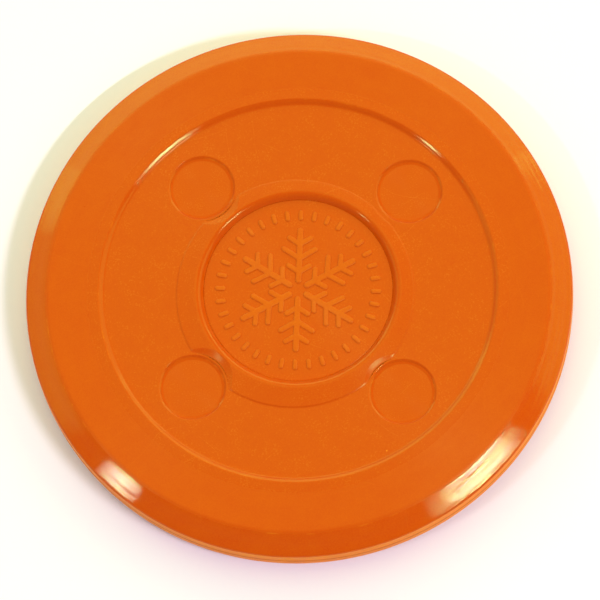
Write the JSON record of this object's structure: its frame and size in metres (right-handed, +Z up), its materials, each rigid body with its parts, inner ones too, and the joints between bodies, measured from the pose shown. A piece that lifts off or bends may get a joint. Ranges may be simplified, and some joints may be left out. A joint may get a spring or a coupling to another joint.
{
  "type": "air hockey puck",
  "caption": "Flat round air-hockey puck with a chamfered rim, a wide riding ring, a shallow recess, a notched hub collar and an inset hub disc.",
  "frame": {"origin": "middle of the face that the puck rests on, on its axis", "axes": "+Z up along the puck's axis; the joining plugs lie at 45 degrees to +X and +Y, and +Y is the top of the hub disc's emblem"},
  "size_m": [0.0826, 0.0826, 0.0074],
  "materials": {
    "moulding": "satin-gloss orange plastic with fine concentric tool marks",
    "hub_disc": "satin orange plastic, finely grained, with a low raised emblem on the upper one",
    "plug": "satin orange plastic"
  },
  "bodies": {
    "root": {"upper_half": "moulding", "lower_half": "moulding", "upper_hub_disc": "hub_disc", "lower_hub_disc": "hub_disc", "joining_plug_1": "plug", "joining_plug_2": "plug", "joining_plug_3": "plug", "joining_plug_4": "plug"}
  },
  "joints": []
}
